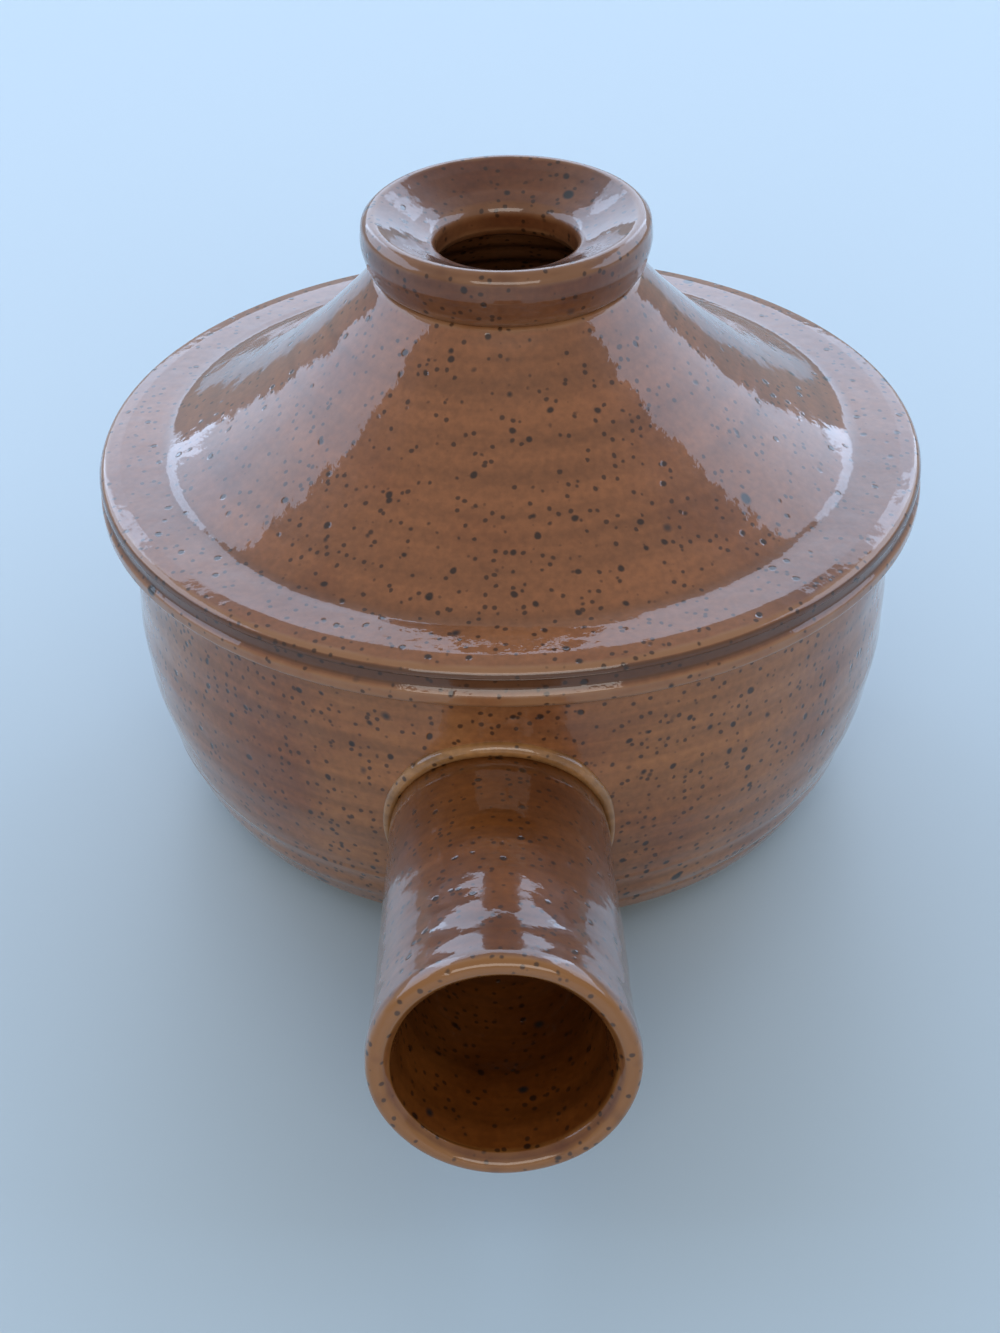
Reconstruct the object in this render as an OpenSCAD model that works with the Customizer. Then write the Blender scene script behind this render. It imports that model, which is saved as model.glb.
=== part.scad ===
// Stoneware egg cooker: a round pot with a hollow handle, and a vented lid that lifts off.
// Sizes are in millimetres. The origin is the centre of the foot, on the table, with +Z up.
// The handle points to -Y.

/* [Bowl] */
// Outer radius of the bowl
bowl_r = 62.8; // [52:0.1:80]
// Height of the bowl's rim above the table
bowl_h = 55; // [45:0.5:80]
// Height at which the upright wall turns into the round belly
belly_z = 35.8; // [30:0.1:42]
// Thickness of the wall
bowl_wall = 4.5; // [3:0.1:7]
// Thickness of the floor
floor_t = 5; // [3:0.1:8]
// Radius on the two edges of the rim
rim_round = 1.2; // [0.4:0.1:1.4]

/* [Foot] */
// Height of the foot ring
foot_h = 3; // [2:0.1:6]
// Width of the foot ring
foot_w = 6; // [4:0.1:10]
// Step from the edge of the bowl's underside in to the foot ring
foot_inset = 4.9; // [1:0.1:8]
// Radius on the foot ring's lower edges
foot_round = 1; // [0.3:0.1:1.6]

/* [Handle] */
// Length of the handle from the wall to the mouth
handle_len = 53.4; // [40:0.1:80]
// Height of the handle's axis where it meets the wall
handle_z = 27.6; // [24:0.1:31]
// Rise of the handle's axis, in degrees
handle_tilt = 4; // [0:0.5:8]
// Sideways set of the handle's axis from the bowl's axis
handle_side = -2.9; // [-4:0.1:4]
// Radius of the straight bore
handle_bore_r = 13.6; // [9:0.1:16]
// Wall of the handle where it meets the bowl
handle_wall = 3.1; // [2.5:0.1:5]
// Least thickness of the clay that closes the bore at its root
bore_floor_t = 1; // [0.6:0.1:4]
// Growth of the outer radius from the wall to the middle of the straight part
handle_swell = 0.8; // [0:0.1:1.5]
// Further growth from there to the flare
handle_grow = 0.4; // [0:0.1:1.5]
// Further growth of the outer radius at the flared mouth
flare_out = 1.1; // [0.5:0.1:3]
// Length of the flare
flare_len = 16; // [8:0.5:20]
// Thickness of the rounded lip
lip_t = 3.6; // [3:0.1:5]

/* [Collar] */
// Width of the ring of clay round the handle's root
collar_w = 3.2; // [1.5:0.1:5]
// Height of that ring above the bowl's wall
collar_h = 1.4; // [0.6:0.1:2.5]

/* [Lid] */
// How far the lid's rim stands out past the bowl
lid_overhang = 4.4; // [1:0.1:8]
// Height of the lid's side band
band_h = 7.3; // [6:0.1:12]
// Radius on the band's upper edge
band_round = 1.6; // [0.6:0.1:2]
// Radius on the band's lower edge
band_under_round = 0.8; // [0.3:0.1:1.2]
// Height of the turned groove above the band's lower edge
groove_z = 4.3; // [3.4:0.1:4.6]
// Radius of the tool that turned the groove
groove_r = 0.9; // [0.4:0.1:1.2]
// Depth of the groove
groove_d = 0.55; // [0.2:0.05:0.8]
// Width of the nearly flat rim inside the band
rim_flat_w = 11.2; // [5:0.1:14]
// Rise of that rim towards the cone
rim_rise = 0.8; // [0:0.1:2]
// Rise of the cone from the flat rim to the knob
cone_rise = 29.7; // [20:0.1:45]
// Radius of the cone's hollow curve
cone_curve_r = 112; // [80:1:300]
// Thickness of the cone's wall
lid_wall = 4.5; // [3:0.1:7]

/* [Flange] */
// Depth of the ring that drops inside the bowl
flange_d = 7; // [4:0.1:12]
// Thickness of that ring
flange_t = 3.5; // [2.5:0.1:6]
// Radius on the ring's lower edges
flange_round = 0.9; // [0.3:0.1:1.2]

/* [Knob] */
// Largest radius of the knob ring
knob_r = 23; // [18:0.1:28]
// How far the knob ring stands out past the top of the cone
knob_overhang = 2.1; // [0.5:0.1:3]
// Height of the knob ring
knob_h = 9.5; // [8:0.1:14]
// Radius of the knob ring's bulging side
knob_side_r = 8; // [7:0.1:12]
// Radius of the rounded edge round the dish
knob_edge_round = 1.2; // [0.8:0.1:1.8]
// Radius of the vent through the knob ring
vent_r = 11; // [8:0.1:12.5]
// Depth of the dish at the vent
dish_d = 4.1; // [2:0.1:5]
// Radius on the edge between the dish and the vent
vent_round = 2; // [0.5:0.1:2.4]

/* [Clearances] */
// Gap between the bowl's rim and the lid that rests on it
seat_gap = 0.2; // [0.1:0.05:0.5]
// Gap between the lid's ring and the inside of the bowl
flange_gap = 1; // [0.4:0.1:2.5]

/* [Hidden] */
$fn = 128;

// Overrun of a cut past the solid that it cuts
cut = 1;
// Drop from the belly's centre to the bowl's underside
under_drop = belly_z - foot_h;
// Radius of the bowl's flat underside
under_r = sqrt(bowl_r * bowl_r - under_drop * under_drop);
foot_r = under_r - foot_inset;
bowl_inner_r = bowl_r - bowl_wall;
floor_z = foot_h + floor_t;

// Length of handle inside the bowl's outline, where the bowl cuts it away
handle_in = bowl_r / 4;
handle_root_r = handle_bore_r + handle_wall;
handle_mid_r = handle_root_r + handle_swell;
handle_end_r = handle_mid_r + handle_grow;
mouth_r = handle_end_r + flare_out;
lip_r = lip_t / 2;
flare_s = handle_len - flare_len;
// Distance from the handle's root to the flat floor of its bore, clear of the bowl's wall
bore_floor_s = handle_bore_r * sin(handle_tilt) + bore_floor_t;
collar_r = handle_root_r + collar_w;

lid_r = bowl_r + lid_overhang;
seat_z = bowl_h + seat_gap;
band_top_z = seat_z + band_h;
flange_r = bowl_inner_r - flange_gap;
flange_inner_r = flange_r - flange_t;

// Outer line of the lid in section, as [radius, height]
knee = [lid_r - rim_flat_w, band_top_z + rim_rise];
neck = [knob_r - knob_overhang, knee[1] + cone_rise];
cone_centre = arc_centre(knee, neck, cone_curve_r);

knob_top_z = neck[1] + knob_h;
// Centre of the knob's bulging side, so that the side starts at the top of the cone
knob_side_x = knob_r - knob_side_r;
knob_side_z = neck[1] + sqrt(knob_side_r * knob_side_r - pow(neck[0] - knob_side_x, 2));
// Centre of the rounded edge, which touches the inside of the bulging side
knob_edge_z = knob_top_z - knob_edge_round;
knob_edge_reach = knob_side_r - knob_edge_round;
knob_edge_x = knob_side_x + sqrt(pow(knob_edge_reach, 2) - pow(knob_edge_z - knob_side_z, 2));
// Slope of the dish, and the centre of the rounded edge between the dish and the vent
dish_z = knob_top_z - dish_d;
dish_angle = atan2(dish_d, knob_edge_x - vent_r);
vent_edge = [vent_r + vent_round, dish_z + vent_round * (tan(dish_angle) - 1 / cos(dish_angle))];

// Centre of the arc of radius r from a to b, on the right-hand side of that line
function arc_centre(a, b, r) =
    let (chord = b - a, half = norm(chord) / 2)
    (a + b) / 2 + sqrt(r * r - half * half) * [chord[1], -chord[0]] / norm(chord);

// A bar with both of its upper corners rounded, standing on the line y = 0
module round_top_bar(width, height, round) {
    square([width, height - round]);
    translate([round, 0]) square([width - 2 * round, height]);
    for (x = [round, width - round])
        translate([x, height - round]) circle(r = round);
}

// Section of a round belly with an upright wall above it, filled to the axis
module belly_section(r, low, high) {
    intersection() {
        union() {
            translate([0, belly_z]) circle(r = r);
            translate([0, belly_z]) square([r, high - belly_z]);
        }
        translate([0, low]) square([r, high - low]);
    }
}

// The bowl's outer form with no hollow, or grown outwards by a layer
module bowl_form(layer = 0) {
    rotate_extrude() belly_section(bowl_r + layer, foot_h, bowl_h);
}

// The round belly and the upright wall in one shell, with a rounded rim
module bowl() {
    color("#a77a4e")
    rotate_extrude() {
        difference() {
            belly_section(bowl_r, foot_h, belly_z + cut);
            belly_section(bowl_inner_r, floor_z, belly_z + 2 * cut);
        }
        translate([bowl_inner_r, belly_z]) round_top_bar(bowl_wall, bowl_h - belly_z, rim_round);
    }
}

// The trimmed ring that the pot stands on
module foot_ring() {
    color("#8d7660")
    rotate_extrude()
    translate([foot_r - foot_w, foot_h]) mirror([0, 1]) round_top_bar(foot_w, foot_h, foot_round);
}

// Puts what follows at the handle's root, with +Z along the handle's axis to the mouth
module at_handle() {
    translate([handle_side, -bowl_r, handle_z]) rotate([90 - handle_tilt, 0, 0]) children();
}

// Outer line of the handle, from inside the bowl to the rounded lip
module handle_outline() {
    polygon([
        [0, -handle_in],
        [handle_root_r, -handle_in],
        [handle_root_r, 0],
        [handle_mid_r, flare_s / 2],
        [handle_end_r, flare_s],
        [mouth_r, handle_len - lip_r],
        [mouth_r - lip_r, handle_len],
        [0, handle_len]
    ]);
    translate([mouth_r - lip_r, handle_len - lip_r]) circle(r = lip_r);
}

// Inner line of the handle: a flat floor, a straight bore, then a flare to the lip
module handle_hollow() {
    polygon([
        [0, bore_floor_s],
        [handle_bore_r, bore_floor_s],
        [handle_bore_r, flare_s],
        [mouth_r - lip_t, handle_len - lip_r],
        [mouth_r - lip_t, handle_len + cut],
        [0, handle_len + cut]
    ]);
}

// The hollow handle, with its root cut to the bowl's wall
module handle_tube() {
    color("#7d4a22")
    difference() {
        at_handle() rotate_extrude() {
            difference() {
                handle_outline();
                handle_hollow();
                lip_corner();
            }
            translate([mouth_r - lip_r, handle_len - lip_r]) circle(r = lip_r);
        }
        bowl_form();
    }
}

// The corner outside the lip's round edge, on the bore's side
module lip_corner() {
    translate([mouth_r - lip_t - cut, handle_len - lip_r]) square([lip_r + cut, lip_r + cut]);
}

// The coil of clay round the handle's root, which follows the bowl's wall
module handle_collar() {
    color("#c9a87c")
    difference() {
        intersection() {
            at_handle() translate([0, 0, -handle_in]) cylinder(r = collar_r, h = 2 * handle_in);
            bowl_form(collar_h);
        }
        bowl_form();
        at_handle() rotate_extrude() handle_outline();
    }
}

// The lid in section: a thick rim with a turned side band, and a concave cone
module lid_section() {
    edge = [lid_r - band_round, band_top_z - band_round];
    under = [lid_r - band_under_round, seat_z + band_under_round];
    difference() {
        union() {
            polygon([
                [flange_inner_r, seat_z],
                [under[0], seat_z],
                [lid_r, under[1]],
                [lid_r, edge[1]],
                [edge[0], band_top_z],
                knee,
                neck,
                [0, neck[1]],
                [0, seat_z + flange_d],
                [flange_inner_r, seat_z + flange_d]
            ]);
            translate(edge) circle(r = band_round);
            translate(under) circle(r = band_under_round);
        }
        intersection() {
            translate(cone_centre) circle(r = cone_curve_r);
            square([knee[0], neck[1] + cut]);
        }
        lid_hollow();
        translate([lid_r + groove_r - groove_d, seat_z + groove_z]) circle(r = groove_r);
    }
}

// The space under the cone, one wall thickness inside its outer curve
module lid_hollow() {
    difference() {
        square([flange_inner_r, neck[1] + cut]);
        translate(cone_centre) circle(r = cone_curve_r + lid_wall);
    }
}

// The thrown cover, open at the top under the knob ring
module lid() {
    color("#9c6740")
    rotate_extrude() lid_section();
}

// The ring under the lid that keeps it central on the bowl
module lid_flange() {
    color("#b08a60")
    rotate_extrude()
    translate([flange_inner_r, seat_z]) mirror([0, 1]) round_top_bar(flange_t, flange_d, flange_round);
}

// The thick ring that is both the knob and the steam vent
module knob_ring() {
    color("#8a4f2a")
    rotate_extrude() {
        difference() {
            union() {
                polygon([
                    [0, neck[1]],
                    neck,
                    [knob_edge_x, knob_edge_z],
                    [knob_edge_x, knob_top_z],
                    [0, knob_top_z]
                ]);
                knob_side();
                translate([knob_edge_x, knob_edge_z]) circle(r = knob_edge_round);
            }
            knob_dish();
            square([vent_r, knob_top_z + cut]);
            vent_corner();
        }
        translate(vent_edge) circle(r = vent_round);
    }
}

// The sharp corner between the dish and the vent, out to the rounded edge's centre
module vent_corner() {
    polygon([
        vent_edge,
        [vent_r, vent_edge[1]],
        [vent_r, dish_z],
        vent_edge + vent_round * [-sin(dish_angle), cos(dish_angle)]
    ]);
}

// The knob's bulging side, from the top of the cone to the rounded edge
module knob_side() {
    intersection() {
        translate([knob_side_x, knob_side_z]) circle(r = knob_side_r);
        translate([knob_side_x, neck[1]]) square([knob_side_r, knob_edge_z - neck[1]]);
    }
}

// The sloping dish in the top of the knob ring
module knob_dish() {
    polygon([
        [0, dish_z],
        [vent_r, dish_z],
        [knob_edge_x, knob_top_z],
        [knob_edge_x, knob_top_z + cut],
        [0, knob_top_z + cut]
    ]);
}

bowl();
foot_ring();
handle_tube();
handle_collar();
lid();
lid_flange();
knob_ring();
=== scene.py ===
# %% [markdown]
# # A stoneware egg cooker with a hollow handle
#
# The pot was thrown on a wheel in five parts: a round bowl, a tube for the handle, a lid, the ring
# under the lid, and the thick ring on top that is both the knob and the steam vent. A coil of clay
# was pressed round the joint of bowl and handle. All of it was dipped in a clear glaze, so the iron
# in the clay shows through as brown specks.
#
# The CAD model gives the sizes. This script keeps its frame and puts a detailed mesh in the place
# of each CAD node, because a thrown pot has soft ridges and rounded edges that the CAD leaves out.

import math

import bmesh
import bpy
from mathutils import Matrix, Vector, noise


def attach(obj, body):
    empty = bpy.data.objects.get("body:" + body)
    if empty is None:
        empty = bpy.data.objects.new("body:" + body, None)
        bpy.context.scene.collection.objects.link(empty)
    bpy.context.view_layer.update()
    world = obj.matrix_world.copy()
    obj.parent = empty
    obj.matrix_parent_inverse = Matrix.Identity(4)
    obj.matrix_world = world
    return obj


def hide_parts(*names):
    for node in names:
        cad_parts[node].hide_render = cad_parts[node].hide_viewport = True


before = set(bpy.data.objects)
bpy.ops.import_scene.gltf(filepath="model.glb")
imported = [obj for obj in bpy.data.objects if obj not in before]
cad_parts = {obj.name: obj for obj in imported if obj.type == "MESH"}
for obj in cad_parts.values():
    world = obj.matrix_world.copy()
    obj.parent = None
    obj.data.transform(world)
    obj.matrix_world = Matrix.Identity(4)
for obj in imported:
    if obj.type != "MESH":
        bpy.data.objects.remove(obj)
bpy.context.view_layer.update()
MM = 0.001

# %% [markdown]
# ## Camera
#
# The camera is where the photographer's was, found by fitting the circles of the lid, knob and
# handle to the photo. It looks down 35 degrees from a third of a metre away, so the lid shows as a
# wide ellipse and the handle comes forward.

# %% Place the camera
CAMERA_AT = Vector((-2.3, -357.5, 268.6)) * MM
LOOKS_DOWN, ROLL = math.radians(35.26), math.radians(-1.11)
FOCAL_PIXELS, LONG_SIDE_PIXELS = 2500, 1333

camera_data = bpy.data.cameras.new("camera")
camera_data.sensor_width = 36
camera_data.lens = FOCAL_PIXELS / LONG_SIDE_PIXELS * camera_data.sensor_width
camera_data.clip_start, camera_data.clip_end = 0.01, 30
camera = bpy.data.objects.new("camera", camera_data)
turn = Matrix.Rotation(math.pi / 2 - LOOKS_DOWN, 4, "X") @ Matrix.Rotation(ROLL, 4, "Z")
camera.matrix_world = Matrix.Translation(CAMERA_AT) @ turn
bpy.context.scene.collection.objects.link(camera)
bpy.context.scene.camera = camera
print("lens in mm:", round(camera_data.lens, 1))

# %% [markdown]
# ## Colours and nodes
#
# Colours are written as sRGB hex values, as in a paint program. Blender's shaders work with linear
# light, so one function converts them. A second small function adds a shader node and wires it.

# %% Helpers for colours and nodes
def colour(hex_value):
    """The linear RGBA of an sRGB hex value."""
    parts = [int(hex_value[i : i + 2], 16) / 255 for i in (1, 3, 5)]
    return [p / 12.92 if p <= 0.04045 else ((p + 0.055) / 1.055) ** 2.4 for p in parts] + [1.0]


def add(tree, kind, links=None, values=None, **settings):
    """Adds a node. links maps its inputs to sockets, and values maps its inputs to numbers."""
    node = tree.nodes.new("ShaderNode" + kind)
    for name, setting in settings.items():
        setattr(node, name, setting)
    for name, value in (values or {}).items():
        node.inputs[name].default_value = value
    for name, socket in (links or {}).items():
        tree.links.new(socket, node.inputs[name])
    return node


print("pale glaze in linear light:", [round(c, 3) for c in colour("#c9a878")])

# %% [markdown]
# ## A skin from rows of points
#
# Each piece is a grid of points: one row for each step along its outline, one column for each step
# round it. Faces between neighbouring rows make the skin. Two numbers go with each row into the
# mesh as attributes: how strongly the outline bends outwards there, and how strongly inwards. The
# material paints an outward bend pale, partly because glaze runs thin on an edge and partly as a
# painted highlight, and paints an inward bend dark as painted shade in the hollow.

# %% Build a mesh from rows of points
def skin(name, rows, bends, loop=False, start=None, end=None):
    """A smooth mesh from rows of points in mm. start and end are points that close it."""
    bm = bmesh.new()
    # Layer for outward bends: painted pale, partly as thin glaze and partly as a painted highlight.
    edge_break_and_highlight = bm.verts.layers.float.new("edge_glaze_break_and_highlight")
    # Layer for inward bends: painted dark, as painted shade in hollows.
    hollow_shade = bm.verts.layers.float.new("hollow_painted_shade")
    grid = []
    for row, bend in zip(rows, bends):
        made = [bm.verts.new(Vector(p) * MM) for p in row]
        for v in made:
            v[edge_break_and_highlight], v[hollow_shade] = max(0.0, bend), max(0.0, -bend)
        grid.append(made)
    n = len(grid[0])
    pairs = list(zip(grid, grid[1:])) + ([(grid[-1], grid[0])] if loop else [])
    for a, b in pairs:
        for j in range(n):
            bm.faces.new((a[j], a[(j + 1) % n], b[(j + 1) % n], b[j]))
    for point, row in ((start, grid[0]), (end, grid[-1])):
        if point is not None:
            tip = bm.verts.new(Vector(point) * MM)
            for j in range(n):
                bm.faces.new((tip, row[j], row[(j + 1) % n]))
    bmesh.ops.recalc_face_normals(bm, faces=bm.faces)
    mesh = bpy.data.meshes.new(name)
    bm.to_mesh(mesh)
    bm.free()
    mesh.polygons.foreach_set("use_smooth", [True] * len(mesh.polygons))
    piece = bpy.data.objects.new(name, mesh)
    bpy.context.scene.collection.objects.link(piece)
    print(name, "has", len(mesh.polygons), "faces")
    return piece


# %% [markdown]
# ## Outlines
#
# A thrown form is an outline turned round an axis. An outline is a list of corners, each with the
# radius that the potter's finger, sponge or tool left on it. The corners are rounded first, and then
# the whole line is cut into short, even steps, so that ridges can be laid along it.

# %% Round the corners of an outline
def rounded(corners):
    """The outline as [r, z] points. A corner is [r, z] or [r, z, radius]."""
    line = []
    for i, corner in enumerate(corners):
        p = Vector(corner[:2])
        if len(corner) == 2 or i in (0, len(corners) - 1):
            line.append(p)
            continue
        a = (Vector(corners[i - 1][:2]) - p).normalized()
        b = (Vector(corners[i + 1][:2]) - p).normalized()
        half = a.angle(b) / 2
        centre = p + (a + b).normalized() * corner[2] / math.sin(half)
        start, end = p + a * corner[2] / math.tan(half), p + b * corner[2] / math.tan(half)
        first, last = start - centre, end - centre
        sweep = math.atan2(first.cross(last), first.dot(last))
        steps = max(3, round(abs(sweep) / math.radians(9)))
        for k in range(steps + 1):
            turned = Matrix.Rotation(sweep * k / steps, 2) @ first
            line.append(centre + turned)
    return line


def arc(centre, radius, first, last, steps):
    """Points on an arc, with angles in degrees from the r axis."""
    angles = [math.radians(first + (last - first) * k / steps) for k in range(steps + 1)]
    return [[centre[0] + radius * math.cos(a), centre[1] + radius * math.sin(a)] for a in angles]


# %% Cut an outline into short steps and measure how it bends
def stepped(line, step):
    """The outline with no step longer than the given one, in mm."""
    points = [line[0]]
    for a, b in zip(line, line[1:]):
        count = max(1, math.ceil((b - a).length / step))
        points += [a.lerp(b, (k + 1) / count) for k in range(count) if (b - a).length > 1e-6]
    return points


def bends_of(points, reach=1.1):
    """For each point, the turn of the outline within reach of it, from -1 for a hollow to 1."""
    turns = [0.0]
    for a, b, c in zip(points, points[1:], points[2:]):
        u, v = b - a, c - b
        turns.append(-math.atan2(u.cross(v), u.dot(v)))
    turns.append(0.0)
    found = []
    for p in points:
        near = sum(t * max(0, 1 - (q - p).length / reach) for q, t in zip(points, turns))
        found.append(max(-1.0, min(1.0, near / 0.7)))
    return found


# %% [markdown]
# ## Throwing marks
#
# Fingers leave a shallow spiral in the clay as the wheel turns. The spiral is real geometry here,
# a few hundredths to a few tenths of a millimetre deep, because a glossy glaze shows every ripple in
# its reflections. Slow noise is added, since no thrown pot is quite round.

# %% Turn an outline into a thrown form
def spiral(along, angle, pitch, depth):
    """Depth in mm of a finger spiral, at a length along the outline and an angle round it."""
    return depth * math.sin(2 * math.pi * along / pitch + angle)


def unround(r, z, angle, depth, seed):
    """Slow unevenness of the wall in mm, at about 25 mm from bump to bump."""
    at = Vector((r * math.cos(angle), r * math.sin(angle), z)) / 25
    return depth * noise.noise(at + Vector((seed, 0, 0)))


def thrown(name, line, columns, marks, close_start=False, close_end=False, loop=False):
    """A lathe form. marks(r, z, along, angle) is how far the wall stands out there, in mm."""
    rows, along = [], 0.0
    for i, p in enumerate(line):
        a, b = line[max(0, i - 1)], line[min(len(line) - 1, i + 1)]
        along += (p - a).length
        out = Vector((-(b - a).y, (b - a).x)).normalized()
        row = []
        for j in range(columns):
            angle = 2 * math.pi * j / columns
            q = p + out * marks(p.x, p.y, along, angle)
            row.append((q.x * math.cos(angle), q.x * math.sin(angle), q.y))
        rows.append(row)
    start = (0, 0, line[0].y) if close_start else None
    end = (0, 0, line[-1].y) if close_end else None
    return skin(name, rows, bends_of(line), loop, start, end)


def fade(value, low, high):
    """0 below low and 1 above high, with a smooth step between."""
    t = max(0.0, min(1.0, (value - low) / (high - low)))
    return t * t * (3 - 2 * t)


# %% [markdown]
# ## Bowl
#
# The bowl has a round belly under a short upright wall. Outlines run so that the clay is on the
# right: from the middle of the floor inside, up the inner wall, over the rim, down the outside and
# back to the middle under the floor. The ridges are deepest inside, where nobody smoothed them, and
# they fade to nothing at the rim, so that the lid still seats.

# %% Make the bowl
BOWL_R, WALL, RIM_Z, BELLY_Z = 62.8, 4.5, 55.0, 35.8
INNER_R, FLOOR_Z, UNDER_Z = BOWL_R - WALL, 8.0, 3.0
inner_turn = math.degrees(math.asin((FLOOR_Z - BELLY_Z) / INNER_R))
outer_turn = math.degrees(math.asin((UNDER_Z - BELLY_Z) / BOWL_R))

bowl_corners = [[1.0, FLOOR_Z], [INNER_R * math.cos(math.radians(inner_turn)), FLOOR_Z, 9.0]]
bowl_corners += arc((0, BELLY_Z), INNER_R, inner_turn + 9, 0, 30)
bowl_corners += [[INNER_R, RIM_Z, 1.3], [BOWL_R, RIM_Z, 1.2]]
bowl_corners += arc((0, BELLY_Z), BOWL_R, 0, outer_turn + 2, 36)
bowl_corners += [[52.6, UNDER_Z, 1.2], [1.0, UNDER_Z]]


def bowl_marks(r, z, along, angle):
    if r < INNER_R + 1 and z > FLOOR_Z - 0.1:
        near_rim = 1 - fade(z, 46, 52)
        return near_rim * fade(r, 2, 8) * spiral(along, angle, 6.5, 0.16)
    hold = fade(z, 6, 12) * (1 - fade(z, 50, 54))
    fine = spiral(along, angle, 2.9, 0.008)
    broad = spiral(along, angle, 9.5, 0.07)
    return hold * (fine + broad + unround(r, z, angle, 0.2, 3.0))


bowl = thrown("bowl_thrown", stepped(rounded(bowl_corners), 0.8), 256, bowl_marks, True, True)

# %% [markdown]
# ## Foot ring
#
# The foot was trimmed from the leather-hard bowl with a loop tool. Its lower edges are rounded, so
# that they don't scratch a table, and it stays free of glaze, or it would stick to the kiln shelf.

# %% Make the foot ring
FOOT_OUT, FOOT_IN = 48.65, 42.65
foot_corners = [
    [FOOT_IN + 0.9, UNDER_Z + 0.3],
    [FOOT_IN + 0.3, 1.5, 0.8],
    [FOOT_IN + 0.6, 0.0, 1.0],
    [FOOT_OUT - 0.4, 0.0, 1.0],
    [FOOT_OUT, 1.4, 0.8],
    [FOOT_OUT - 0.5, UNDER_Z + 0.3],
]
foot_line = [Vector(p) for p in rounded(foot_corners)][::-1]


def foot_marks(r, z, along, angle):
    return fade(z, 0.4, 1.5) * spiral(along, angle, 1.1, 0.03)


foot = thrown("foot_trimmed", stepped(foot_line, 0.4), 192, foot_marks, loop=True)

# %% [markdown]
# ## Lid
#
# The lid is a flat rim with a hollow cone above it. Its side was turned with a pointed tool: a
# rounded upper edge, a sharp step in under it, a shallow hollow, and a bead at the bottom. The flat
# rim meets the cone in a soft bend. Inside, the cone keeps its deeper finger marks.

# %% Make the lid
SEAT_Z, KNEE, NECK = 55.2, (56.0, 63.3), (20.9, 93.0)
CONE_CENTRE, CONE_R, LID_WALL, LID_IN = (109.26, 161.83), 112.0, 4.5, 53.8


def angle_at(point):
    return math.degrees(math.atan2(point[1] - CONE_CENTRE[1], point[0] - CONE_CENTRE[0]))


inner_top = CONE_CENTRE[0] - math.sqrt((CONE_R + LID_WALL) ** 2 - (NECK[1] - CONE_CENTRE[1]) ** 2)
inner_low_z = CONE_CENTRE[1] - math.sqrt((CONE_R + LID_WALL) ** 2 - (LID_IN - CONE_CENTRE[0]) ** 2)
lid_corners = [[LID_IN, SEAT_Z + 1.0], [LID_IN, inner_low_z, 3.0]]
first_turn, last_turn = angle_at((LID_IN, inner_low_z)) - 1.6, angle_at((inner_top, NECK[1]))
lid_corners += arc(CONE_CENTRE, CONE_R + LID_WALL, first_turn, last_turn, 30)
lid_corners += [[NECK[0] - 0.5, NECK[1]]]
lid_corners += arc(CONE_CENTRE, CONE_R, angle_at(NECK) + 0.2, angle_at(KNEE) - 1.7, 34)
lid_corners += [
    [KNEE[0], KNEE[1], 6.0],
    [63.6, 62.75, 3.0],
    [67.15, 62.05, 1.5],
    [67.05, 60.75, 0.25],
    [66.5, 60.35, 0.3],
    [66.45, 58.8, 0.8],
    [67.2, 57.9, 0.7],
    [67.15, 56.3, 0.9],
    [66.0, SEAT_Z, 0.7],
    [LID_IN, SEAT_Z],
]
lid_line = [Vector(p) for p in rounded(lid_corners)]


def lid_marks(r, z, along, angle):
    inside = math.hypot(r - CONE_CENTRE[0], z - CONE_CENTRE[1]) > CONE_R + 2
    if r > LID_IN + 1 and z < 63.2:
        side = fade(z, 56, 57) * (1 - fade(z, 61.2, 62.2)) * fade(r, 64, 66)
        flat = fade(z, 62.3, 62.6) * (1 - fade(r, 62, 64))
        return side * unround(r, z, angle, 0.07, 9.0) + flat * spiral(along, angle, 4.0, 0.006)
    hold = fade(z, 58, 62) * (1 - fade(z, 90, 92.5))
    if inside:
        return hold * spiral(along, angle, 6.0, 0.16)
    ripple = spiral(along, angle, 3.1, 0.004) + spiral(along, angle, 10.5, 0.02)
    return hold * (ripple + unround(r, z, angle, 0.2, 5.0))


lid = thrown("lid_thrown", stepped(lid_line, 0.7), 256, lid_marks, loop=True)

# %% [markdown]
# ## Ring under the lid
#
# A short ring drops inside the bowl and keeps the lid central. It's plain, with a rounded lower
# edge, and was wiped clean of glaze, since the lid is fired in its place on the bowl.

# %% Make the ring under the lid
RING_OUT, RING_LOW = 57.3, 48.2
ring_corners = [
    [RING_OUT, SEAT_Z + 0.3],
    [RING_OUT, RING_LOW, 1.0],
    [LID_IN, RING_LOW, 1.2],
    [LID_IN, SEAT_Z + 0.3],
]
ring_line = [Vector(p) for p in rounded(ring_corners)]


def ring_marks(r, z, along, angle):
    return (1 - fade(z, 52, 54)) * min(0.0, spiral(along, angle, 2.2, 0.05) - 0.05)


lid_ring = thrown("lid_ring_thrown", stepped(ring_line, 0.6), 224, ring_marks, loop=True)

# %% [markdown]
# ## Knob ring
#
# The knob is a thick ring with a bulging side. Its top sinks as a smooth dish to the vent, so that
# steam is drawn to the middle and a drop of water runs back in. The outline goes up the vent, out
# over the dish, round the bulge and back under.

# %% Make the knob ring
VENT_R = 11.0
knob_corners = [
    [VENT_R + 0.5, 92.9],
    [VENT_R, 94.0, 0.6],
    [VENT_R, 97.9, 2.4],
    [14.6, 99.45, 5.0],
    [18.2, 101.35, 6.0],
    [21.2, 102.75, 1.5],
    [22.75, 101.3, 1.6],
    [23.05, 98.2, 6.0],
    [22.0, 94.2, 2.6],
    [20.75, 92.9],
]
knob_line = [Vector(p) for p in rounded(knob_corners)]


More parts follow.
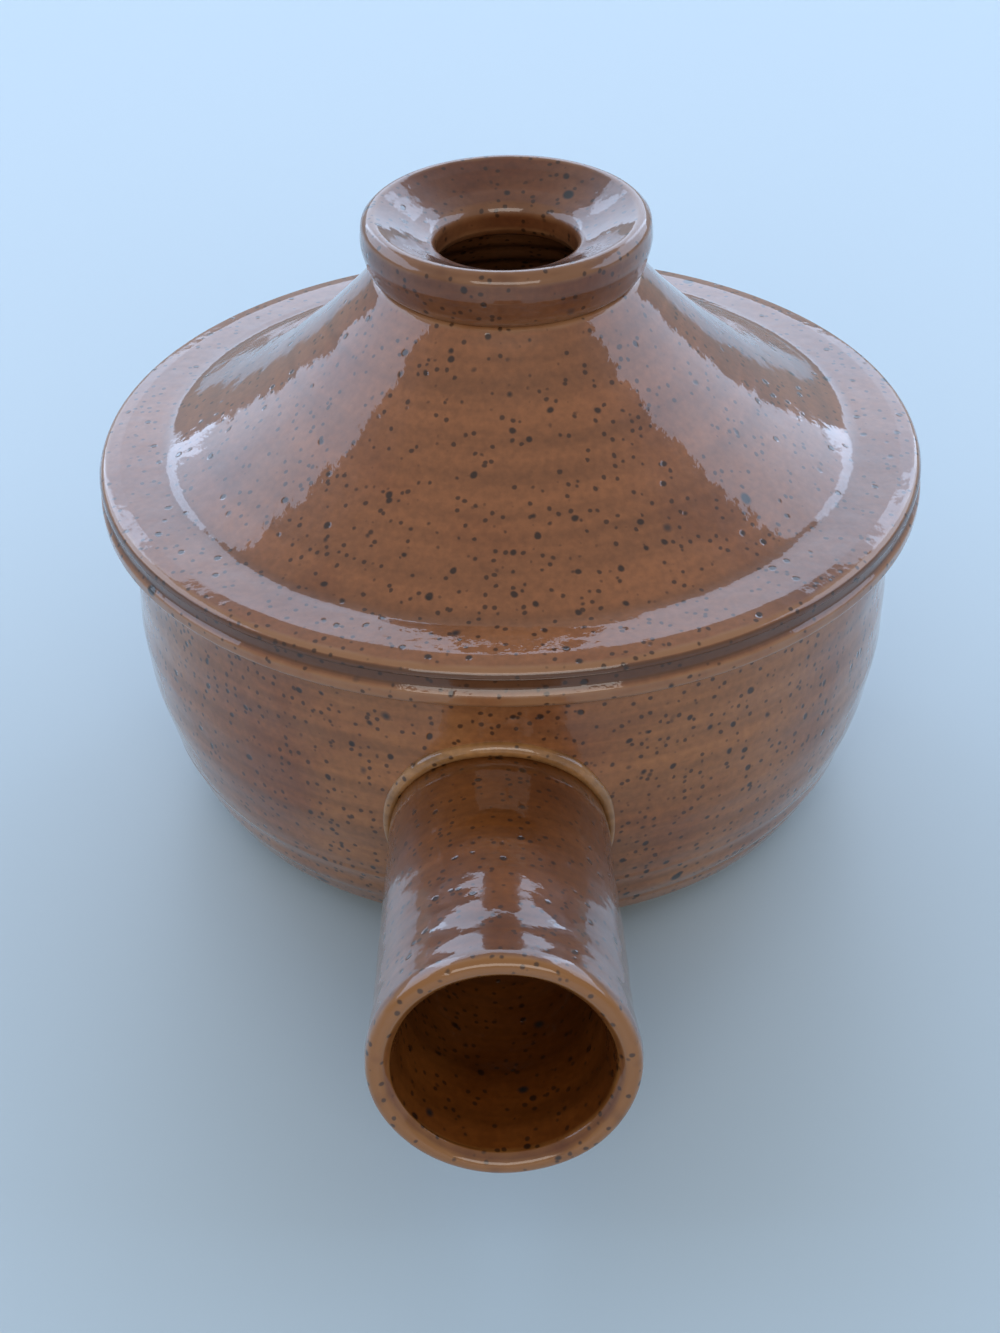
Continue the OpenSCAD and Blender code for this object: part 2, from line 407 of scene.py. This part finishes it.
def knob_marks(r, z, along, angle):
    side = fade(r, 20, 22) * fade(z, 94, 96)
    dish = fade(z, 98.5, 99.5) * (1 - fade(r, 19, 21))
    return side * unround(r, z, angle, 0.12, 2.0) + dish * spiral(along, angle, 2.6, 0.006) - 0.08


knob = thrown("knob_thrown", stepped(knob_line, 0.35), 192, knob_marks, loop=True)

# %% [markdown]
# ## Handle
#
# The handle is a tube, open at the mouth and closed at the root. It leaves the bowl a little to
# one side and rises 4 degrees. Its outline is the same kind as the others, but turned about the
# handle's own axis. At the root each line along the tube runs on until it is 1 mm deep in the bowl's
# wall, so the joint has no gap whatever the curve of the bowl.

# %% Place the handle's axis
HANDLE_AT = Vector((-2.9, -BOWL_R, 27.6))
TILT = math.radians(4)
ALONG = Vector((0, -math.cos(TILT), math.sin(TILT)))
ACROSS, UPWARDS = Vector((1, 0, 0)), Vector((0, math.sin(TILT), math.cos(TILT)))


def at_handle(s, r, angle):
    """The point at length s along the handle, r from its axis. Angle 90 degrees is on top."""
    return HANDLE_AT + ALONG * s + (ACROSS * math.cos(angle) + UPWARDS * math.sin(angle)) * r


def wall_meets(r, angle, depth):
    """The length along the handle at which its line at r and angle is that deep in the bowl."""
    low, high = -40.0, 10.0
    for _ in range(30):
        s = (low + high) / 2
        p = at_handle(s, r, angle)
        reach = math.hypot(p.x, p.y) if p.z > BELLY_Z else math.hypot(p.x, p.y, p.z - BELLY_Z)
        if reach < BOWL_R - depth:
            low = s
        else:
            high = s
    return (low + high) / 2


print("root of the handle from", round(wall_meets(16.7, -math.pi / 2, 0), 1), "mm")

# %% Make the handle
MOUTH_S = 53.3
handle_corners = [
    [16.7, 0.0],
    [17.45, 18.0],
    [17.85, 36.0],
    [18.15, 44.0, 20.0],
    [19.05, 51.0, 4.0],
    [18.7, MOUTH_S - 0.3, 1.3],
    [16.9, MOUTH_S, 1.2],
    [15.5, MOUTH_S - 1.5, 1.6],
    [14.6, 47.0, 8.0],
    [13.6, 38.0, 20.0],
    [13.6, 2.2, 2.0],
    [1.0, 2.2],
]
handle_line = stepped([Vector(p) for p in rounded(handle_corners)], 0.6)
handle_bends = [-b for b in bends_of(handle_line)]
HANDLE_COLUMNS = 176


def handle_marks(s, r, angle, bore):
    """How far the handle's wall stands out from its outline, in mm."""
    if bore:
        return -0.03 * fade(s, 3, 6) * (1 + math.sin(2 * math.pi * s / 5 + angle))
    slow = unround(r, s, angle, 0.3, 7.0) * fade(s, 2, 12)
    lip = 0.25 * noise.noise(Vector((math.cos(angle) * 1.6, math.sin(angle) * 1.6, s / 12)))
    fine = spiral(s, angle, 2.6, 0.004) + spiral(s, angle, 8.0, 0.02)
    return fade(s, 1, 6) * (slow + fine) + fade(s, 44, 50) * lip - 0.15 * fade(s, 46, 50)


handle_rows, bore_reached = [], False
for i, p in enumerate(handle_line):
    r, s = p
    bore_reached = bore_reached or (i > 0 and s < handle_line[i - 1].y - 0.2 and r < 15.6)
    row = []
    for j in range(HANDLE_COLUMNS):
        angle = 2 * math.pi * j / HANDLE_COLUMNS
        out = handle_marks(s, r, angle, bore_reached) if r > 12 else 0.0
        length = s
        if not bore_reached and s < 36:
            root = wall_meets(16.7, angle, 1.0)
            length = root + (36 - root) * s / 36
        row.append(at_handle(length, r + out, angle))
    handle_rows.append(row)
floor_tip = at_handle(2.2, 0.0, 0.0)

root_rows = []
for share in (0.1, 0.35, 0.6, 0.85):
    angles = [2 * math.pi * j / HANDLE_COLUMNS for j in range(HANDLE_COLUMNS)]
    r = 16.7 * share
    root_rows.append([at_handle(wall_meets(r, a, 1.0), r, a) for a in angles])
root_tip = at_handle(wall_meets(0.0, 0.0, 1.0), 0.0, 0.0)
handle = skin(
    "handle_thrown",
    root_rows + handle_rows,
    [0.0] * len(root_rows) + handle_bends,
    start=root_tip,
    end=floor_tip,
)

# %% [markdown]
# ## Collar
#
# The potter pressed a thin coil of clay into the corner between handle and bowl and smoothed it with
# a finger. It is widest on top, where the joint shows, and thins out down the sides. It's a loop of
# small sections: each starts inside the handle's wall, swells, and ends just under the bowl's skin.

# %% Make the collar
COLLAR_COLUMNS, COLLAR_STEPS = 192, 14
collar_rows = [[] for _ in range(COLLAR_STEPS)]
for j in range(COLLAR_COLUMNS):
    angle = 2 * math.pi * j / COLLAR_COLUMNS
    top = fade(math.sin(angle), -0.3, 1.0)
    uneven = noise.noise(Vector((math.cos(angle) * 3, math.sin(angle) * 3, 0)))
    width = 1.0 + 1.9 * top + 0.25 * uneven
    height = 0.45 + 0.8 * top
    for k in range(COLLAR_STEPS):
        turn_k = 2 * math.pi * k / COLLAR_STEPS
        r = 16.75 + width * 0.45 * (1 + math.cos(turn_k)) - 0.25
        lift = height * (math.sin(turn_k) if turn_k < math.pi else 0.9 * math.sin(turn_k))
        base = at_handle(wall_meets(r, angle, 0.0), r, angle)
        out = Vector((base.x, base.y, min(0.0, base.z - BELLY_Z))).normalized()
        collar_rows[k].append(base + out * lift)
collar = skin("collar_coil", collar_rows, [0.0] * COLLAR_STEPS, loop=True)

# %% [markdown]
# ## Glazed stoneware
#
# The real finish is a clear glossy glaze, melted at about 1250 degrees on an iron-bearing stoneware
# clay. Under the glass lies a tan to rust brown body, and iron in the clay burns through as specks:
# many of half a millimetre, and a few blue-black ones of a millimetre or more. Glaze is a glass, so
# its index of refraction is 1.5 and it is nearly mirror smooth. The Principled shader's coat is that
# glass, and its base is the coloured body, which is rougher.
#
# Real sizes set the patterns. A Voronoi texture with scale 1/d has cells d metres wide, and a speck
# is the part of a cell near its middle. The finest iron is a tenth of a millimetre and would be lost
# in the render, so the fine specks are drawn at 0.4 mm.

# %% Make a glaze
def stoneware_glaze(name, body, rust, pale, rust_share=0.5, band_axis="Z", specks=1.0):
    """A clear glossy glaze on speckled stoneware. Colours are sRGB hex values."""
    material = bpy.data.materials.new(name)
    material.use_nodes = True
    tree = material.node_tree
    tree.nodes.clear()
    where = add(tree, "TexCoord").outputs["Object"]

    # The body's slow change from tan to rust, about 30 mm from patch to patch.
    patches = add(tree, "TexNoise", {"Vector": where}, {"Scale": 1 / 0.030, "Detail": 4.0})
    patch = add(
        tree, "MapRange", {"Value": patches.outputs["Fac"]},
        {"From Min": 0.62 - 0.3 * rust_share, "From Max": 0.78 - 0.2 * rust_share},
    )
    tone = add(tree, "Mix", {"Factor": patch.outputs["Result"]}, data_type="RGBA")
    tone.inputs["A"].default_value, tone.inputs["B"].default_value = colour(body), colour(rust)

    # Clay dragged round by the fingers: bands about 2 mm wide, across the turning axis.
    stretch = {"Z": (25, 25, 480), "Y": (25, 480, 25)}[band_axis]
    dragged = add(tree, "Mapping", {"Vector": where}, {"Scale": stretch})
    bands = add(tree, "TexNoise", {"Vector": dragged.outputs["Vector"]}, {"Scale": 1.0, "Detail": 3.0})
    band = add(
        tree, "MapRange", {"Value": bands.outputs["Fac"]},
        {"From Min": 0.35, "From Max": 0.65, "To Min": 0.84, "To Max": 1.14},
    )
    banded = add(
        tree, "Mix", {"A": tone.outputs["Result"], "B": band.outputs["Result"]}, {"Factor": 1.0},
        data_type="RGBA", blend_type="MULTIPLY",
    )

    # Fine mottling of the clay's grains, about 1 mm.
    grain = add(tree, "TexNoise", {"Vector": where}, {"Scale": 1 / 0.0011, "Detail": 3.0})
    grain_tone = add(
        tree, "MapRange", {"Value": grain.outputs["Fac"]},
        {"From Min": 0.3, "From Max": 0.7, "To Min": 0.86, "To Max": 1.13},
    )
    grained = add(
        tree, "Mix", {"A": banded.outputs["Result"], "B": grain_tone.outputs["Result"]},
        {"Factor": 1.0}, data_type="RGBA", blend_type="MULTIPLY",
    )

    # Pale on outward edges, partly where the glaze runs thin over the clay and partly a painted
    # highlight, and dark in hollows as painted shade.
    uneven = add(tree, "TexNoise", {"Vector": where}, {"Scale": 1 / 0.006, "Detail": 2.0})
    edge_break_and_highlight = add(tree, "Attribute", attribute_name="edge_glaze_break_and_highlight").outputs["Fac"]
    edge_break_and_highlight_here = add(tree, "Math", {0: edge_break_and_highlight, 1: uneven.outputs["Fac"]}, operation="MULTIPLY")
    edge_break_and_highlight_amount = add(
        tree, "MapRange", {"Value": edge_break_and_highlight_here.outputs["Value"]},
        {"From Min": 0.12, "From Max": 0.42, "To Max": 0.85},
    )
    # Mix in the pale colour on outward bends: glaze running thin, plus a painted highlight.
    edge_broken_and_highlit = add(
        tree, "Mix", {"Factor": edge_break_and_highlight_amount.outputs["Result"], "A": grained.outputs["Result"]},
        data_type="RGBA",
    )
    edge_broken_and_highlit.inputs["B"].default_value = colour(pale)
    # Painted shade: inward bends are mixed towards dark brown.
    hollow_shade = add(tree, "Attribute", attribute_name="hollow_painted_shade").outputs["Fac"]
    hollow_shade_amount = add(tree, "MapRange", {"Value": hollow_shade}, {"From Min": 0.1, "From Max": 0.7, "To Max": 0.75})
    hollow_shaded = add(
        tree, "Mix", {"Factor": hollow_shade_amount.outputs["Result"], "A": edge_broken_and_highlit.outputs["Result"]},
        data_type="RGBA",
    )
    hollow_shaded.inputs["B"].default_value = colour("#4a2c17")

    # Iron specks in three sizes: cell width in metres, speck radius as a share of it, share of
    # cells that hold one, colour and strength.
    surface, pits = hollow_shaded.outputs["Result"], []
    for cell, radius, share, ink, strength in (
        (0.0014, 0.27, 0.46 * specks, "#2e190c", 0.8),
        (0.0032, 0.17, 0.48 * specks, "#22130b", 0.9),
        (0.0110, 0.085, 0.55 * specks, "#1b1c1d", 0.95),
    ):
        wobble = add(tree, "TexNoise", {"Vector": where}, {"Scale": 0.9 / cell, "Detail": 1.0})
        shift = add(
            tree, "VectorMath", {0: wobble.outputs["Color"]}, {1: [0.35 * cell] * 3},
            operation="MULTIPLY",
        )
        ragged = add(tree, "VectorMath", {0: where, 1: shift.outputs["Vector"]}, operation="ADD")
        cells = add(tree, "TexVoronoi", {"Vector": ragged.outputs["Vector"]}, {"Scale": 1 / cell})
        inside = add(
            tree, "MapRange", {"Value": cells.outputs["Distance"]},
            {"From Min": radius * 1.25, "From Max": radius * 0.75, "To Max": strength},
        )
        pick = add(tree, "SeparateColor", {"Color": cells.outputs["Color"]})
        held = add(tree, "Math", {0: pick.outputs["Red"]}, {1: share}, operation="LESS_THAN")
        speck = add(
            tree, "Math", {0: inside.outputs["Result"], 1: held.outputs["Value"]},
            operation="MULTIPLY",
        )
        inked = add(tree, "Mix", {"Factor": speck.outputs["Value"], "A": surface}, data_type="RGBA")
        inked.inputs["B"].default_value = colour(ink)
        surface = inked.outputs["Result"]
        pits.append(speck.outputs["Value"])

    # The glass: slow ripples, a fine orange peel, and a dimple over each larger speck.
    ripples = add(tree, "TexNoise", {"Vector": where}, {"Scale": 1 / 0.007, "Detail": 2.0})
    peel = add(tree, "TexNoise", {"Vector": where}, {"Scale": 1 / 0.0012, "Detail": 2.0})
    low = add(
        tree, "Bump", {"Height": ripples.outputs["Fac"]}, {"Distance": 0.00016, "Strength": 1.0}
    )
    fine = add(
        tree, "Bump", {"Height": peel.outputs["Fac"], "Normal": low.outputs["Normal"]},
        {"Distance": 0.00002, "Strength": 1.0},
    )
    dimples = add(
        tree, "Bump", {"Height": pits[1], "Normal": fine.outputs["Normal"]},
        {"Distance": 0.00005, "Strength": 1.0}, invert=True,
    )
    shader = add(
        tree, "BsdfPrincipled",
        {
            "Base Color": surface,
            "Normal": fine.outputs["Normal"],
            "Coat Normal": dimples.outputs["Normal"],
        },
        {"Roughness": 0.42, "IOR": 1.5, "Coat Weight": 1.0, "Coat Roughness": 0.035, "Coat IOR": 1.5},
    )
    shader.inputs["Specular IOR Level"].default_value = 0.25
    add(tree, "OutputMaterial", {"Surface": shader.outputs["BSDF"]})
    print(name, "has", len(tree.nodes), "nodes")
    return material


# %% [markdown]
# ## The finishes on this pot
#
# One glaze covers the whole pot, but it looks different where the fire and its thickness differ.
# The bowl is a greyer tan, the lid warmer, the knob has rust patches, and the handle, which stood
# nearest the flame, is a deep amber.

# %% Name the finishes
bowl_glaze = stoneware_glaze(
    "glazed_stoneware_tan", "#8f5c34", "#784524", "#a2764f", 0.45, specks=1.2
)
lid_glaze = stoneware_glaze("glazed_stoneware_warm", "#855230", "#774425", "#966a48", 0.45)
knob_glaze = stoneware_glaze("glazed_stoneware_rust_patched", "#7c4e2e", "#5c2f16", "#855938", 0.8)
handle_glaze = stoneware_glaze(
    "glazed_stoneware_amber", "#733f16", "#5b2d0a", "#92602f", 0.6, band_axis="Y", specks=1.2
)
collar_glaze = stoneware_glaze("glazed_stoneware_pale_coil", "#986c40", "#81552c", "#a57e52", 0.35)

# %% [markdown]
# ## Bare stoneware
#
# Where no glaze may be, on the foot and on the ring under the lid, the fired clay shows: dry, finely
# grained and matt, toasted from buff to light brown. Rough fired clay scatters nearly all its light,
# so its roughness is high and it has no coat. Grains of sand about half a millimetre wide stand out.

# %% Make the bare clay
bare = bpy.data.materials.new("bare_stoneware")
bare.use_nodes = True
tree = bare.node_tree
tree.nodes.clear()
where = add(tree, "TexCoord").outputs["Object"]
toast = add(tree, "TexNoise", {"Vector": where}, {"Scale": 1 / 0.018, "Detail": 4.0})
buff = add(tree, "Mix", {"Factor": toast.outputs["Fac"]}, data_type="RGBA")
buff.inputs["A"].default_value = colour("#8f7254")
buff.inputs["B"].default_value = colour("#b39878")
sand = add(tree, "TexVoronoi", {"Vector": where}, {"Scale": 1 / 0.0011})
grit = add(tree, "MapRange", {"Value": sand.outputs["Distance"]}, {"From Min": 0.3, "From Max": 0.16})
gritty = add(
    tree, "Mix", {"Factor": grit.outputs["Result"], "A": buff.outputs["Result"]}, data_type="RGBA"
)
gritty.inputs["B"].default_value = colour("#6a4a30")
rough = add(tree, "TexNoise", {"Vector": where}, {"Scale": 1 / 0.0005, "Detail": 3.0})
relief = add(tree, "Bump", {"Height": rough.outputs["Fac"]}, {"Distance": 0.00012, "Strength": 0.7})
clay = add(
    tree, "BsdfPrincipled",
    {"Base Color": gritty.outputs["Result"], "Normal": relief.outputs["Normal"]},
    {"Roughness": 0.85, "IOR": 1.5},
)
add(tree, "OutputMaterial", {"Surface": clay.outputs["BSDF"]})
print("bare clay has", len(tree.nodes), "nodes")

# %% [markdown]
# ## Put the pieces in the frame
#
# Each piece stands for its CAD node, rides on that node's body and takes its finish. The pot
# stays on the table, and everything on the lid lifts.

# %% Join pieces, nodes, bodies and finishes
PIECES = (
    (bowl, "bowl", "pot", bowl_glaze, "bowl_glaze"),
    (foot, "foot_ring", "pot", bare, "bare_stoneware"),
    (handle, "handle_tube", "pot", handle_glaze, "handle_glaze"),
    (collar, "handle_collar", "pot", collar_glaze, "collar_glaze"),
    (lid, "lid", "lid", lid_glaze, "lid_glaze"),
    (lid_ring, "lid_flange", "lid", bare, "bare_stoneware"),
    (knob, "knob_ring", "lid", knob_glaze, "knob_glaze"),
)
for piece, node, body, material, slot in PIECES:
    piece.data.materials.append(material)
    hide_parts(node)
    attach(piece, body)
    print(piece.name, "stands for", node, "on", body)

# %% [markdown]
# ## Floor and light
#
# The pot stands on a plain pale floor. Glossy glaze is only as good as what it reflects, so the
# light comes from large soft panels. Three have the colour of a clear sky and stand low, behind and
# on both sides: the flat rim, the dish and the cone's flanks mirror them, with a lavender sheen. The
# fourth fills in from the front. Nothing bright hangs overhead, so the cone's front stays brown.

# %% Lay the floor
HALF = 1.4
floor_mesh = bpy.data.meshes.new("floor")
floor_corners = [(-HALF, -HALF, 0), (HALF, -HALF, 0), (HALF, HALF, 0), (-HALF, HALF, 0)]
floor_mesh.from_pydata(floor_corners, [], [(0, 1, 2, 3)])
floor = bpy.data.objects.new("floor", floor_mesh)
floor.location.z = -0.05 * MM
bpy.context.scene.collection.objects.link(floor)
floor_paint = bpy.data.materials.new("floor_paint")
floor_paint.use_nodes = True
paint = floor_paint.node_tree.nodes["Principled BSDF"]
paint.inputs["Base Color"].default_value = colour("#b7c5cc")
paint.inputs["Roughness"].default_value = 0.4
floor_mesh.materials.append(floor_paint)
print("floor is", 2 * HALF, "m wide")

# %% Hang the panels and set the world
SKY = (0.56, 0.73, 1.0)
PANELS = (
    ("panel_back", (0.0, 1.30, 0.80), 2.2, 0.95, 17, SKY),
    ("panel_left", (-1.15, 0.50, 0.72), 1.9, 0.8, 12.5, SKY),
    ("panel_right", (1.15, 0.50, 0.72), 1.9, 0.8, 12.5, SKY),
    ("panel_front", (0.0, -1.60, 0.90), 1.6, 0.8, 12.5, (1.0, 0.96, 0.9)),
)
for name, place, width, height, watts, tint in PANELS:
    lamp = bpy.data.lights.new(name, "AREA")
    lamp.shape, lamp.size, lamp.size_y = "RECTANGLE", width, height
    lamp.energy, lamp.color = watts, tint
    panel = bpy.data.objects.new(name, lamp)
    panel.location = place
    panel.rotation_euler = (Vector((0, 0, 0.05)) - Vector(place)).to_track_quat("-Z", "Y").to_euler()
    panel.visible_camera = False
    bpy.context.scene.collection.objects.link(panel)
world = bpy.data.worlds.new("studio")
bpy.context.scene.world = world
world.use_nodes = True
sky_light = world.node_tree.nodes["Background"]
sky_light.inputs["Color"].default_value = colour("#e6ecf0")
sky_light.inputs["Strength"].default_value = 0.45

# The camera sees a paler backdrop than the one that lights the pot.
backdrop = add(world.node_tree, "Background", values={"Strength": 1.0})
backdrop.inputs["Color"].default_value = colour("#c2d3df")
seen = add(world.node_tree, "LightPath").outputs["Is Camera Ray"]
either = add(world.node_tree, "MixShader", {0: seen, 1: sky_light.outputs[0], 2: backdrop.outputs[0]})
world.node_tree.links.new(either.outputs[0], world.node_tree.nodes["World Output"].inputs["Surface"])
bpy.context.scene.view_settings.view_transform = "Standard"
print("panels:", [p[0] for p in PANELS])
